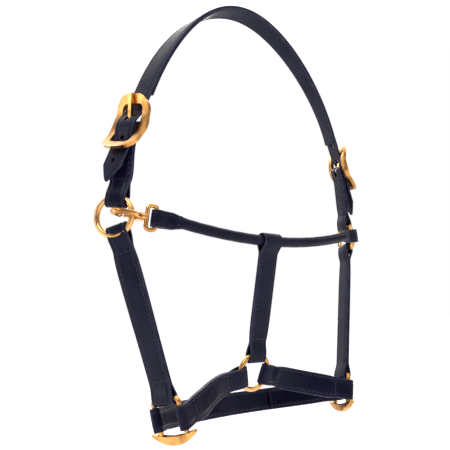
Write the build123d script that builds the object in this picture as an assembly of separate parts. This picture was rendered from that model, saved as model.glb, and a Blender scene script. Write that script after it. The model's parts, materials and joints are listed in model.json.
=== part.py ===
from build123d import *
from math import cos, pi, radians, sin, sqrt
import os

# Leather headcollar (stable halter), horse size, spread open as it is worn.
# Millimetres. +Z up, +Y towards the nose, +X the off (right) side of the head.
# The origin is where the underside of the crown strap rests on the poll.

# ---- driving dimensions -------------------------------------------------
STRAP_WIDTH = 25.0          # one-inch leather
PLY = 2.3                   # one layer of leather
STRAP = 2 * PLY             # two layers, stitched together
SEAM = 0.05                 # air left between separate plies
FIT = 0.35                  # air between a leather loop and the metal in it
RING_WIRE = 5.5             # wire of the round rings
RING_RADIUS = 19.25         # centre line of the round rings
SNUG_WIDTH = 22.0           # strap width where it crowds a ring or a square
TOE_IN = 22.0               # the cheeks turn in towards the jaw, degrees
NEAR_RING_TOE_IN = 36.0     # the near ring has swung further round in its loops
TAPER = 15.0                # a doubled strap closes up this far from its bar
LEAST_REACH = 0.4           # slack of a loop drawn tight on its bar
RING_SLACK = 1.8            # slack of the loops on the cheek rings

# Places on the off side; the near side mirrors them in X.
CHEEK_RING = Vector(166, 10, -265)
BUCKLE = Vector(153, 2, -174)
SQUARE = Vector(117.5, -5.5, -453)
CHIN_RING = Vector(0, 14, -424)
THROAT_MIDDLE = Vector(2, -22, -284)

# Crown strap: one Bezier leg each side of the poll.
CROWN_SHOULDER = 58.0       # how far the flat top reaches before it turns down
CROWN_PULL = 0.36           # how stiffly it leaves the buckle

# Buckle, in its own frame: x across, y up the billet, z outward.
BUCKLE_WIDTH = 43.0
BUCKLE_LENGTH = 60.0
BUCKLE_BULGE = 1.5          # the sides swell past the straight outline
BUCKLE_OPENING = (28.0, 44.0)
BUCKLE_CORNERS = (14.0, 6.0)
BUCKLE_PLATE = 4.0
BUCKLE_DISH = 9.5           # the ends stand this far out of the middle
BUCKLE_FLOOR = -1.5         # inner face of the frame at the centre bar
BUCKLE_BAR = 4.5            # centre bar diameter
BUCKLE_ROCK = 10.0          # the frame lies between the chape and the crown, degrees
NEAR_BUCKLE_SKEW = 6.0      # the near frame has also slewed on its chape
BILLET_LIFT = 1.8           # billet centre under the frame's ends
BILLET_RISE = 4.85          # extra lift where it rides over the centre bar
BILLET_TOP = 46.0           # where the billet becomes the crown's outer ply
BILLET_STEPS = 20
TAIL_LENGTH = 63.0          # billet tip below the centre bar
TIP_LENGTH = 22.0           # pointed part of the tail
HOLE_PITCH = 25.0
HOLE_RADIUS = 2.3
HOLE_IN_USE = 10.0          # height of the hole that the tongue is in
SLOT_LENGTH = 14.0          # that hole has worn to a slot
TONGUE_WIDTH = 4.0
TONGUE_THICK = 3.2
TONGUE_REACH = 29.5
TONGUE_SLOPE = 0.505

# Square fitting, in its own frame: x across the strap, y up, z outward.
SQUARE_BAR = 4.8
SQUARE_SPACING = 31.0       # between the centres of the side bars
SQUARE_DROP = 32.2          # from the top bar to the crescent's centre line
SQUARE_CORNER = 4.0
SIDE_LOOP_DROP = -1.4       # the side bars' loops hang a little low
CRESCENT_WIDTH = 49.0
CRESCENT_DEPTH = 9.0
CRESCENT_HOLLOW = 3.4       # its upper edge curves down in the middle
CRESCENT_SWELL = 1.6

# Noseband: its ends slope down from the squares.
TURN_BACK = 0.28            # share of the noseband where the turned ends lie
NOSE_BOW = 0.40
NOSE_LEAVE = (0.74, 0.67, -0.08)
NOSE_SLACK = 4.8            # slack that lets its loops slope on the bars

# Rolled throat strap and its snap.
ROLL = 11.5
CORE = 6.0
ROLL_FLAT = 17.0            # width of the roll's flat ends
ROLL_FROM = 27.0            # the flat ends have become round this far from the bar
OFF_LEAVE = Vector(-0.955, -0.26, -0.14).normalized()
SNAP_ALONG = Vector(0.955, -0.26, -0.14).normalized()
SNAP_WIRE = 5.0
SNAP_ARM = 7.5              # from the snap's axis to the hook's arm
SNAP_HOOK = 20.0            # straight length of the hook
SNAP_SHIFT = (9.6, 1.7)     # ring wire to the snap's origin, along and forward
EYE_BAR = 4.4
EYE_HEIGHT = 24.0
EYE_LENGTH = 7.0
SHANK = 5.0
HINGE = (-4.0, 2.2 - SNAP_ARM)  # gate pin in the snap's frame
GATE_THICK = 2.4
FORK_GAP = 4.6              # holds the gate and its spring side by side
LUG_WIDTH = 7.0
GATE_SHIFT = 0.9            # the gate sits to one side of the fork
SPRING_WIRE = 0.54

UP = Vector(0, 0, 1)


# ---- frames ---------------------------------------------------------------
def on_side(point, side):
    return Vector(point.X * side, point.Y, point.Z)


def rearward(side):
    """Across a cheek strap, towards its rear edge."""
    return Vector(-side * sin(radians(TOE_IN)), -cos(radians(TOE_IN)), 0)


def square_to(vector, axis):
    """The part of a direction that is square to an axis."""
    return (vector - axis * vector.dot(axis)).normalized()


def strap_plane(origin, along, across):
    """x along the strap, z across it, y through its thickness."""
    along = along.normalized()
    return Plane(origin=origin, x_dir=along, z_dir=square_to(across, along))


# ---- leather --------------------------------------------------------------
def bezier(points, t):
    a, b, c, d = points
    u = 1 - t
    return a * u**3 + b * (3 * u * u * t) + c * (3 * u * t * t) + d * t**3


def slope(points, t):
    a, b, c, d = points
    u = 1 - t
    return ((b - a) * (u * u) + (c - b) * (2 * u * t) + (d - c) * (t * t)).normalized()


def cross_section(centre, along, across, width, thickness, offset=0.0):
    """A rectangle across the strap; offset moves it along the strap's normal."""
    along = along.normalized()
    across = square_to(across, along)
    normal = across.cross(along)
    plane = Plane(origin=centre + normal * offset, x_dir=across, z_dir=along)
    return plane * Rectangle(width, thickness)


def ribbon(path, across, widths, thickness, offset=0.0, steps=8, span=(0.0, 1.0)):
    """Leather lofted along a Bezier, turning from one width direction to another."""
    sections = []
    for i in range(steps + 1):
        t = span[0] + (span[1] - span[0]) * i / steps
        blend = t * t * (3 - 2 * t)
        turned = across[0] * (1 - blend) + across[1] * blend
        end_width = widths[0] if t < 0.5 else widths[1]
        width = STRAP_WIDTH - (STRAP_WIDTH - end_width) * (2 * t - 1) ** 6
        sections.append(cross_section(bezier(path, t), slope(path, t), turned, width, thickness, offset))
    return loft(sections)


def fold(bar, along, across, bar_radius, width, reach=LEAST_REACH, taper=TAPER):
    """The turned end of a doubled strap, hollow where it goes round a bar."""
    inner = bar_radius + FIT
    outer = inner + PLY
    half = STRAP / 2

    def outline(radius, far, thin):
        top = [(far, thin), (0, radius), (-reach, radius)]
        low = [(-reach, -radius), (0, -radius), (far, -thin)]
        tip = ThreePointArc(top[-1], (-reach - radius, 0), low[0])
        return make_face(Polyline(top) + tip + Polyline(low) + Line(low[-1], top[0]))

    leather = outline(outer, taper, half) - outline(inner, taper - 4.5, 0.05)
    return strap_plane(bar, along, across) * extrude(leather, width / 2, both=True)


def flat_start(bar, along):
    return bar + along.normalized() * TAPER


def doubled_strap(ends, widths, pull=0.33):
    """One strip folded round a bar at each end: ends hold (bar, along, across, radius, reach)."""
    first, last = ends
    start = flat_start(first[0], first[1])
    finish = flat_start(last[0], last[1])
    gap = (finish - start).length * pull
    path = [start, start + first[1].normalized() * gap, finish + last[1].normalized() * gap, finish]
    body = ribbon(path, (first[2], last[2]), widths, STRAP)
    loops = [
        fold(end[0], end[1], end[2], end[3], width, end[4])
        for end, width in zip(ends, widths)
    ]
    return body + loops[0] + loops[1]


# ---- rings and squares ------------------------------------------------------
def ring(centre, normal, radius, wire):
    return Plane(origin=centre, z_dir=normal) * Torus(radius, wire / 2)


def rod(start, finish, radius):
    axis = finish - start
    return Plane(origin=start, z_dir=axis) * extrude(Circle(radius), axis.length)


def cheek_ring(side):
    return ring(on_side(CHEEK_RING, side), ring_normal(side), RING_RADIUS, RING_WIRE)


def side_frames(side):
    """Directions that the fittings and straps of one side share."""
    cheek_ring = on_side(CHEEK_RING, side)
    buckle = on_side(BUCKLE, side)
    square = on_side(SQUARE, side)
    rear = rearward(side)
    chape_up = (buckle - cheek_ring).normalized()
    cheek_down = (square - cheek_ring).normalized()
    return cheek_ring, buckle, square, rear, chape_up, cheek_down


def ring_toe(side):
    return radians(NEAR_RING_TOE_IN if side < 0 else TOE_IN)


def ring_normal(side):
    return Vector(side * cos(ring_toe(side)), -sin(ring_toe(side)), 0)


def ring_across(side):
    """Across a strap where it passes through a cheek ring, towards its rear edge."""
    return Vector(-side * sin(ring_toe(side)), -cos(ring_toe(side)), 0)


def square_plane(side):
    """x to the rear bar, y up the cheek strap, origin midway between the side bars."""
    _, _, square, rear, _, cheek_down = side_frames(side)
    across = square_to(rear, cheek_down)
    return Plane(origin=square, x_dir=across, z_dir=cheek_down.cross(across))


def square_point(side, x, y):
    plane = square_plane(side)
    return plane.origin + plane.x_dir * x + plane.y_dir * y


def up_of(side):
    return side_frames(side)[5] * -1


def square_fitting(side):
    """Cast brass frame: three bars and a heavy crescent that overhangs them."""
    half = SQUARE_SPACING / 2
    top = SQUARE_DROP / 2
    bars = FilletPolyline((-half, -top), (-half, top), (half, top), (half, -top), radius=SQUARE_CORNER)
    frame = sweep(Plane(origin=bars @ 0, z_dir=bars % 0) * Circle(SQUARE_BAR / 2), path=bars)
    reach = CRESCENT_WIDTH / 2
    upper = ThreePointArc((-reach, 0), (0, -CRESCENT_HOLLOW), (reach, 0))
    lower = ThreePointArc((reach, 0), (0, -CRESCENT_DEPTH), (-reach, 0))
    moon = offset(make_face(upper + lower), amount=CRESCENT_SWELL, kind=Kind.ARC)
    crescent = extrude(Pos(0, -top + 1.0) * moon, SQUARE_BAR / 2 + 0.4, both=True)
    crescent = fillet(crescent.edges().filter_by(GeomType.LINE, reverse=True), 1.2)
    return square_plane(side) * (frame + crescent)


# ---- straps -----------------------------------------------------------------
def ring_reach(width, radius=RING_RADIUS):
    """How far a round ring's wire drops within a strap's width."""
    return radius - sqrt(radius**2 - (width / 2) ** 2) + 0.4


def ring_end(centre, outward, across, width, slack=0.0):
    """A strap end folded round a ring, leaving it along outward."""
    outward = outward.normalized()
    return (centre + outward * RING_RADIUS, outward, across, RING_WIRE / 2, ring_reach(width) + slack)


def chape(side):
    cheek_ring, buckle, _, rear, chape_up, _ = side_frames(side)
    low = ring_end(cheek_ring, chape_up, ring_across(side), SNUG_WIDTH, RING_SLACK)
    bar = buckle_plane(side).x_dir
    high = (buckle, square_to(chape_up, bar) * -1, bar if bar.dot(rear) > 0 else bar * -1,
            BUCKLE_BAR / 2, LEAST_REACH)
    leather = doubled_strap((low, high), (SNUG_WIDTH, STRAP_WIDTH))
    slot = Box(TONGUE_WIDTH + 1.6, 24, 24)
    leather -= buckle_plane(side) * Pos(0, 4, 0) * slot
    return leather - ring(cheek_ring, ring_normal(side), RING_RADIUS, RING_WIRE + 2 * FIT)


def cheek_strap(side):
    cheek_ring, _, _, rear, _, cheek_down = side_frames(side)
    top = ring_end(cheek_ring, cheek_down, ring_across(side), SNUG_WIDTH, RING_SLACK)
    bar = square_point(side, 0, SQUARE_DROP / 2)
    low = (bar, cheek_down * -1, rear, SQUARE_BAR / 2, LEAST_REACH)
    leather = doubled_strap((top, low), (SNUG_WIDTH, STRAP_WIDTH))
    return leather - ring(cheek_ring, ring_normal(side), RING_RADIUS, RING_WIRE + 2 * FIT)


def chin_normal():
    along = (THROAT_MIDDLE - CHIN_RING).normalized()
    return square_to(Vector(0, -1, 0), along)


def chin_strap(side):
    lift = radians(14)
    up = square_to(UP, chin_normal())
    outward = Vector(side, 0, 0) * cos(lift) - up * sin(lift)
    tangent = up * cos(lift) + Vector(side, 0, 0) * sin(lift)
    inner = ring_end(CHIN_RING, outward, tangent, SNUG_WIDTH)
    bar = square_point(side, SQUARE_SPACING / 2, SIDE_LOOP_DROP)
    aim = (inner[0] - bar).normalized()
    leave = square_to(aim + ring_normal(side) * 0.12, up_of(side))
    outer = (bar, leave, up_of(side), SQUARE_BAR / 2, 1.0)
    leather = doubled_strap((inner, outer), (SNUG_WIDTH, SNUG_WIDTH))
    return leather - ring(CHIN_RING, chin_normal(), RING_RADIUS, RING_WIRE + 2 * FIT)


def connecting_strap():
    down = (CHIN_RING - THROAT_MIDDLE).normalized()
    near, off = roll_ends()
    across = (off - near).normalized()
    top = (THROAT_MIDDLE, down, across, ROLL / 2, LEAST_REACH)
    low = ring_end(CHIN_RING, down * -1, across, SNUG_WIDTH)
    leather = doubled_strap((top, low), (STRAP_WIDTH, SNUG_WIDTH))
    leather -= tube(roll_path(), ROLL / 2 + FIT)
    return leather - ring(CHIN_RING, chin_normal(), RING_RADIUS, RING_WIRE + 2 * FIT)


# ---- noseband ---------------------------------------------------------------
def nose_end(side):
    bar = square_point(side, -SQUARE_SPACING / 2, SIDE_LOOP_DROP)
    leave = Vector(-side * NOSE_LEAVE[0], NOSE_LEAVE[1], NOSE_LEAVE[2]).normalized()
    across = square_to(up_of(side), leave)
    return bar + leave * (NOSE_SLACK / 2), leave, across, SQUARE_BAR / 2, NOSE_SLACK


def nose_path():
    near, off = nose_end(-1), nose_end(1)
    start = flat_start(near[0], near[1])
    finish = flat_start(off[0], off[1])
    pull = (finish - start).length * NOSE_BOW
    return [start, start + near[1] * pull, finish + off[1] * pull, finish]


def noseband():
    """Outer ply, folded round both squares and turned back inside."""
    path = nose_path()
    ends = [nose_end(-1), nose_end(1)]
    across = (ends[0][2], ends[1][2])
    widths = (SNUG_WIDTH, SNUG_WIDTH)
    half = PLY / 2 + 0.03
    band = ribbon(path, across, widths, PLY, half, steps=12)
    band += ribbon(path, across, widths, PLY, -half, steps=5, span=(0, TURN_BACK))
    band += ribbon(path, across, widths, PLY, -half, steps=5, span=(1 - TURN_BACK, 1))
    for end in ends:
        band += fold(end[0], end[1], end[2], end[3], SNUG_WIDTH, end[4])
    return band


def noseband_lining():
    path = nose_path()
    across = (nose_end(-1)[2], nose_end(1)[2])
    widths = (SNUG_WIDTH, SNUG_WIDTH)
    span = (TURN_BACK + 0.004, 1 - TURN_BACK - 0.004)
    return ribbon(path, across, widths, PLY - 0.15, -PLY / 2 - 0.1, steps=8, span=span)


# ---- crown strap and buckles ------------------------------------------------
def buckle_plane(side):
    """The frame's own axes: rocked outward at its foot, and on the near side slewed too."""
    _, buckle, _, rear, chape_up, _ = side_frames(side)
    skew = radians(NEAR_BUCKLE_SKEW if side < 0 else 0)
    rock = radians(BUCKLE_ROCK)
    across = square_to(rear, chape_up)
    outward = across.cross(chape_up)
    if outward.X * side < 0:
        outward = outward * -1
    slewed = chape_up * cos(skew) + across * sin(skew)
    up = slewed * cos(rock) - outward * sin(rock)
    outward = outward * cos(rock) + slewed * sin(rock)
    return Plane(origin=buckle, x_dir=up.cross(outward), z_dir=outward)


def dish_radius():
    return ((BUCKLE_LENGTH / 2) ** 2 + BUCKLE_DISH**2) / (2 * BUCKLE_DISH)


def buckle_frame(side):
    """Cast frame, dished so that its ends stand out over the billet, with a centre bar."""
    outer = RectangleRounded(BUCKLE_WIDTH, BUCKLE_LENGTH, BUCKLE_CORNERS[0])
    outer += Ellipse(BUCKLE_WIDTH / 2 + BUCKLE_BULGE, BUCKLE_LENGTH / 2)
    opening = RectangleRounded(BUCKLE_OPENING[0], BUCKLE_OPENING[1], BUCKLE_CORNERS[1])
    blank = Pos(0, 0, -BUCKLE_PLATE) * extrude(outer - opening, 2 * BUCKLE_LENGTH)
    radius = dish_radius()
    centre = Pos(0, 0, BUCKLE_FLOOR + radius) * Rot(0, 90, 0)
    inner_face = centre * Cylinder(radius, 2 * BUCKLE_WIDTH)
    outer_face = centre * Cylinder(radius - BUCKLE_PLATE, 2 * BUCKLE_WIDTH)
    below = Pos(0, 0, radius / 2 - BUCKLE_PLATE) * Box(2 * BUCKLE_WIDTH, 2 * BUCKLE_LENGTH, radius)
    frame = blank & (inner_face - outer_face) & below
    bar = Rot(0, 90, 0) * Cylinder(BUCKLE_BAR / 2, BUCKLE_WIDTH - 5)
    return buckle_plane(side) * (frame + bar)


def buckle_tongue(side):
    """Straight tongue: out through the billet and over the top of the frame."""
    eye_radius = BUCKLE_BAR / 2 + 0.08
    eye = Rot(0, 90, 0) * Cylinder(eye_radius + 1.7, TONGUE_WIDTH)
    bar_hole = Rot(0, 90, 0) * Cylinder(eye_radius, TONGUE_WIDTH + 2)
    spine = Polyline((0, 0), (TONGUE_REACH / 2, TONGUE_REACH / 2 * TONGUE_SLOPE + 0.2),
                     (TONGUE_REACH, TONGUE_REACH * TONGUE_SLOPE))
    blade = trace(spine, TONGUE_THICK)
    tongue = eye + extrude(Plane.YZ * blade, TONGUE_WIDTH / 2, both=True) - bar_hole
    return buckle_plane(side) * tongue


def billet_height(y):
    """Billet centre over the centre bar's plane, y up the strap."""
    wave = BILLET_RISE * cos(min(abs(y) / 20.0, 1.0) * pi / 2) ** 2
    base = BILLET_LIFT
    if y > 30:
        base -= (BILLET_LIFT - PLY / 2) * min((y - 30) / 16.0, 1.0)
    return base + wave


def billet_sections(side):
    """Sections from the billet tip up through the buckle."""
    plane = buckle_plane(side)
    up = plane.y_dir
    across = plane.x_dir
    sections = []
    for i in range(BILLET_STEPS + 1):
        y = -TAIL_LENGTH + (BILLET_TOP + TAIL_LENGTH) * i / BILLET_STEPS
        rise = (billet_height(y + 1) - billet_height(y - 1)) / 2
        along = (up + plane.z_dir * rise).normalized()
        centre = plane.origin + up * y + plane.z_dir * billet_height(y)
        sections.append((centre, along, across))
    return sections


def crown_leg(side):
    plane = buckle_plane(side)
    foot = plane.origin + plane.y_dir * BILLET_TOP
    top = Vector(0, 0, PLY + SEAM)
    reach = (top - foot).length * CROWN_PULL
    return [foot, foot + plane.y_dir * reach, top + Vector(side * CROWN_SHOULDER, 0, 0), top]


def crown_sections(side, offset, first=0.0, steps=9):
    path = crown_leg(side)
    plane = buckle_plane(side)
    sections = []
    for i in range(steps + 1):
        t = first + (1 - first) * i / steps
        blend = t * t * (3 - 2 * t)
        across = plane.x_dir * (1 - blend) + Vector(0, side, 0) * blend
        along = slope(path, t)
        across = square_to(across, along)
        normal = across.cross(along)
        if normal.Z < 0 or (normal.X * side < 0 and abs(normal.Z) < 0.3):
            normal = normal * -1
        sections.append((bezier(path, t) + normal * offset, along, across))
    return sections


def strip(sections, width, thickness):
    return loft([cross_section(*section, width, thickness) for section in sections])


def billet_cuts(side):
    """The worn slot that the tongue is in, the spare holes and the pointed tip."""
    plane = buckle_plane(side)
    slot = SlotOverall(SLOT_LENGTH, TONGUE_WIDTH + 0.9, rotation=90)
    cuts = Pos(0, HOLE_IN_USE - 0.95, 6) * extrude(slot, 8, both=True)
    for steps in (-2, -1, 1):
        cuts += Pos(0, HOLE_IN_USE + steps * HOLE_PITCH, 4) * Cylinder(HOLE_RADIUS, 20)
    low = -TAIL_LENGTH - 6
    high = -TAIL_LENGTH + TIP_LENGTH
    point = make_face(Polyline((-20, low), (0, low), (0, -TAIL_LENGTH), (-20, high), close=True))
    tip = extrude(point, 20, both=True)
    return plane * (cuts + tip + mirror(tip, about=Plane.YZ))


def over_the_poll(offset, first=0.0):
    """One strip from the near buckle over the poll to the off one."""
    near = crown_sections(-1, offset, first)
    off = crown_sections(1, offset, first)[:-1]
    back = [(centre, along * -1, across * -1) for centre, along, across in reversed(off)]
    return strip(near + back, STRAP_WIDTH, PLY)


def billet(side):
    return strip(billet_sections(side), STRAP_WIDTH, PLY) - billet_cuts(side)


def crown_strap():
    return over_the_poll(PLY / 2) + billet(-1) + billet(1)


def crown_lining():
    return over_the_poll(-PLY / 2 - SEAM, first=0.03)


# ---- throat strap and snap ----------------------------------------------------
def ring_rear(side):
    return on_side(CHEEK_RING, side) + ring_across(side) * RING_RADIUS


def snap_plane():
    """x along the snap towards the throat strap, y to the rear, z up."""
    up = square_to(UP, SNAP_ALONG)
    rear = SNAP_ALONG.cross(up)
    origin = ring_rear(-1) + SNAP_ALONG * SNAP_SHIFT[0] - rear * SNAP_SHIFT[1]
    return Plane(origin=origin, x_dir=SNAP_ALONG, z_dir=rear.cross(SNAP_ALONG) * -1)


def eye_bar():
    plane = snap_plane()
    return plane.origin + plane.x_dir * (SHANK + EYE_BAR / 2 + EYE_LENGTH)


def roll_ends():
    """Where the round part of the throat strap starts at each end."""
    return eye_bar() + SNAP_ALONG * ROLL_FROM, ring_rear(1) + OFF_LEAVE * ROLL_FROM


def roll_path():
    near, off = roll_ends()
    return ThreePointArc(near, THROAT_MIDDLE, off)


def tube(path, radius):
    return sweep(Plane(origin=path @ 0, z_dir=path % 0) * Circle(radius), path=path)


def flat_end(bar, along, bar_radius, width, reach):
    """Flat end of the roll: folded round its bar and narrowed to the round."""
    loop = fold(bar, along, UP, bar_radius, width, reach)
    half = width / 2
    neck = ROLL / 2
    end = ROLL_FROM + 5
    chevron = make_face(Polyline((TAPER, -half), (TAPER, half), (ROLL_FROM, neck), (end, neck), (end, -neck),
                                 (ROLL_FROM, -neck), close=True))
    plane = strap_plane(bar, along, UP)
    flat = Plane(origin=plane.origin, x_dir=plane.x_dir, z_dir=plane.y_dir)
    return loop + flat * extrude(chevron, STRAP / 2, both=True)


def throat_strap():
    near = flat_end(eye_bar(), SNAP_ALONG, EYE_BAR / 2, ROLL_FLAT, LEAST_REACH)
    off = flat_end(ring_rear(1), OFF_LEAVE, RING_WIRE / 2, ROLL_FLAT, ring_reach(ROLL_FLAT))
    path = roll_path()
    roll = tube(path, ROLL / 2) + near + off
    roll -= tube(path, CORE / 2 + 0.05)
    return roll - ring(on_side(CHEEK_RING, 1), ring_normal(1), RING_RADIUS, RING_WIRE + 2 * FIT)


def throat_core():
    return tube(roll_path(), CORE / 2)


def snap_body():
    """Hook, shank and eye in one casting; the wire runs in the hook's plane."""
    r = SNAP_WIRE / 2
    arm = SNAP_ARM
    path = FilletPolyline((3, 0), (0, 0), (-7, arm), (-SNAP_HOOK, arm), radius=4)
    rod_one = sweep(Plane(origin=path @ 0, z_dir=path % 0) * Circle(r), path=path)
    bend = ThreePointArc((-SNAP_HOOK, arm), (-SNAP_HOOK - arm, 0), (-SNAP_HOOK, -arm))
    rod_two = sweep(Plane(origin=bend @ 0, z_dir=bend % 0) * Circle(r), path=bend)
    nose = Pos(-SNAP_HOOK, -arm, 0) * Sphere(r + 0.4)
    shank = Pos(SHANK / 2, 0, 0) * Rot(0, 90, 0) * Cylinder(3.2, SHANK)
    eye = eye_frame()
    lug = Pos(HINGE[0], HINGE[1], 0) * Cylinder(3.4, LUG_WIDTH)
    web = Pos(-0.9, -arm / 2 + 0.4, 0) * Box(7, 8, LUG_WIDTH)
    body = rod_one + rod_two + nose + shank + eye + lug + web
    fork = Pos(-6.85, HINGE[1], 0) * Box(11, 9, FORK_GAP)
    pin_hole = Pos(HINGE[0], HINGE[1], 0) * Cylinder(0.9, 12)
    return snap_plane() * (body - fork - pin_hole)


def eye_frame():
    half_z = EYE_HEIGHT / 2
    x0 = SHANK
    x1 = SHANK + EYE_BAR / 2 + EYE_LENGTH
    corner = 3.4
    corners = [(x0, -half_z), (x1, -half_z), (x1, half_z), (x0, half_z)]
    outline = FilletPolyline(*corners, radius=corner, close=True)
    loop = Plane.XZ * outline
    start = Plane(origin=loop @ 0, z_dir=loop % 0)
    return sweep(start * Circle(EYE_BAR / 2), path=loop)


def snap_gate():
    """Flat gate on its pin, closing against the hook's nose."""
    x, y = HINGE
    tip_x = -SNAP_HOOK + 3.6
    blade = make_face(Polyline((x, y + 1.8), (tip_x, -SNAP_ARM + 1.6), (tip_x, -SNAP_ARM - 1.6), (x, y - 1.8),
                               close=True))
    gate = extrude(blade, GATE_THICK / 2, both=True) + Pos(x, y, 0) * Cylinder(2.4, GATE_THICK)
    gate -= Pos(x, y, 0) * Cylinder(0.85, 10)
    return snap_plane() * Pos(0, 0, GATE_SHIFT) * gate


def snap_pin():
    return snap_plane() * Pos(HINGE[0], HINGE[1], 0) * Cylinder(0.8, LUG_WIDTH)


def snap_spring():
    """Small torsion coil round the pin, beside the gate."""
    turn = Helix(pitch=0.62, height=1.24, radius=1.5)
    coil = sweep(Plane(origin=turn @ 0, z_dir=turn % 0) * Circle(SPRING_WIRE / 2), path=turn)
    return snap_plane() * Pos(HINGE[0], HINGE[1], GATE_SHIFT - GATE_THICK / 2 - 1.65) * coil


# ---- write one file per piece ---------------------------------------------
def build():
    pieces = {
        "crown_strap": crown_strap(),
        "crown_lining": crown_lining(),
        "noseband": noseband(),
        "noseband_lining": noseband_lining(),
        "connecting_strap": connecting_strap(),
        "chin_ring": ring(CHIN_RING, chin_normal(), RING_RADIUS, RING_WIRE),
        "throat_strap": throat_strap(),
        "throat_core": throat_core(),
        "snap_body": snap_body(),
        "snap_gate": snap_gate(),
        "snap_pin": snap_pin(),
        "snap_spring": snap_spring(),
    }
    for name, side in (("near", -1), ("off", 1)):
        pieces[f"buckle_frame_{name}"] = buckle_frame(side)
        pieces[f"buckle_tongue_{name}"] = buckle_tongue(side)
        pieces[f"chape_{name}"] = chape(side)
        pieces[f"cheek_ring_{name}"] = cheek_ring(side)
        pieces[f"cheek_strap_{name}"] = cheek_strap(side)
        pieces[f"square_{name}"] = square_fitting(side)
        pieces[f"chin_strap_{name}"] = chin_strap(side)
    return pieces


os.makedirs("parts", exist_ok=True)
for node, solid in build().items():
    export_step(solid, f"parts/{node}.step")
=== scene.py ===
import json
import math

import bmesh
import bpy
import numpy as np
from mathutils import Matrix, Vector


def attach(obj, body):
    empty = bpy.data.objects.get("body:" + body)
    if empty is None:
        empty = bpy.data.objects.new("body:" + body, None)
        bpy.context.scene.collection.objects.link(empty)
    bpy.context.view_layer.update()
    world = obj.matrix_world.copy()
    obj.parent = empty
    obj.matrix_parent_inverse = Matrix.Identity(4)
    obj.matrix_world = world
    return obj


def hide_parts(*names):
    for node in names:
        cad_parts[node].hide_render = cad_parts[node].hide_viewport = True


# Leather headcollar: every strap is rebuilt here as leather with its own thickness, creases,
# folds and stitching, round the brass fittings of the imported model. Lengths are in millimetres
# until a mesh is made, when MM turns them into metres. A side is -1 for near and 1 for off.

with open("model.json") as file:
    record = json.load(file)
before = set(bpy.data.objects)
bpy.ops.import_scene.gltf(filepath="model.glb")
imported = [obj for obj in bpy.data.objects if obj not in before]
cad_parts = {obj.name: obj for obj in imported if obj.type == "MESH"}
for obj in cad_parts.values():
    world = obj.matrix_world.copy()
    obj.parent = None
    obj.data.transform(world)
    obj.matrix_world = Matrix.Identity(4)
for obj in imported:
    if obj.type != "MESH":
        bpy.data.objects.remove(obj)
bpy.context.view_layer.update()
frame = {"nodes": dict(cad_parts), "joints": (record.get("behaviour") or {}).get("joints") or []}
MM = 0.001
RNG = np.random.default_rng(24)

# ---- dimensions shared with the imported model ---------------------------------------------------
STRAP_WIDTH = 25.0
SNUG_WIDTH = 22.0
PLY = 2.3
SEAM = 0.05
FIT = 0.35
RING_WIRE = 5.5
RING_RADIUS = 19.25
TOE_IN = math.radians(22)
NEAR_RING_TOE_IN = math.radians(36)
RING_SLACK = 1.8            # a loop round a cheek ring is this much longer than it has to be
LEAST_REACH = 0.4
SQUARE = np.array((117.5, -5.5, -453.0))
THROAT_MIDDLE = np.array((2.0, -22.0, -284.0))
SQUARE_BAR = 4.8
SQUARE_SPACING = 31.0
SQUARE_DROP = 32.2
SIDE_LOOP_DROP = -1.4
BUCKLE_BAR = 4.5
CHAPE_SLOT = (5.6, 24.0, 4.0)        # width, length, and how far its middle is up the strap
BUCKLE_ROCK = math.radians(10)
NEAR_BUCKLE_SKEW = math.radians(6)
BILLET_LIFT = 1.8           # the billet's middle over the centre bar's plane
BILLET_RISE = 4.85          # and how much more where it goes over the bar
BILLET_HUMP = 20.0
BILLET_TOP = 46.0
SETTLE_FROM, SETTLE_OVER = 28.0, 18.0
LINING_BELOW = 8.0
TAIL_LENGTH = 63.0
TIP_LENGTH = 17.6
HOLE_IN_USE = 10.0
HOLE_PITCH = 25.0
HOLE_RADIUS = 2.3
BILLET_SLOT = (4.9, 14.0, 9.05)      # as CHAPE_SLOT: the hole in use, worn long
CROWN_SHOULDER = 58.0
CROWN_PULL = 0.36
ROLL = 11.5
ROLL_FLAT = 17.0
ROLL_FROM = 27.0
SNAP_ALONG = np.array((0.955, -0.26, -0.14))
SNAP_ALONG /= np.linalg.norm(SNAP_ALONG)
OFF_LEAVE = SNAP_ALONG * np.array((-1, 1, 1))
SNAP_SHIFT = (9.6, 1.7)
EYE_BAR = 4.4
EYE_LENGTH = 7.0
SHANK = 5.0
CHIN_LIFT = math.radians(14)
CHIN_BOW = 0.12
CHIN_SLACK = 1.0
TURN_BACK = 0.28            # share of the noseband over which each end lies back inside
NOSE_BOW = 0.40
NOSE_LEAVE = (0.74, 0.67, -0.08)     # way out of the square, for the near side
NOSE_SLACK = 4.8
TAPER = 15.0                # a doubled strap closes up this far from its bar
SEWN_FROM = TAPER + 2.5
CLOSE = 0.02
UP = np.array((0.0, 0.0, 1.0))


# ---- directions and places -------------------------------------------------------------------
def unit(v):
    return v / np.linalg.norm(v, axis=-1, keepdims=True)


def square_to(v, axis):
    dot = np.sum(v * axis, axis=-1, keepdims=True)
    return unit(v - axis * dot)


def smooth(t):
    t = np.clip(t, 0, 1)
    return t * t * (3 - 2 * t)


JOINTS = {j["name"]: j for j in frame["joints"]}


def joint_place(name):
    return np.array(JOINTS[name]["pos_m"]) / MM


CHEEK_RING = joint_place("off_cheek_ring_turn")
BUCKLE = joint_place("off_tongue_lift")
CHIN_RING = joint_place("chin_ring_turn")


def on_side(point, side):
    return point * np.array((side, 1, 1))


def rearward(side):
    """Towards the rear edge of a strap on the cheek, level."""
    return np.array((-side * math.sin(TOE_IN), -math.cos(TOE_IN), 0))


def square_normal(side):
    """Out from the cheek, level."""
    return np.array((side * math.cos(TOE_IN), -math.sin(TOE_IN), 0))


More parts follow.
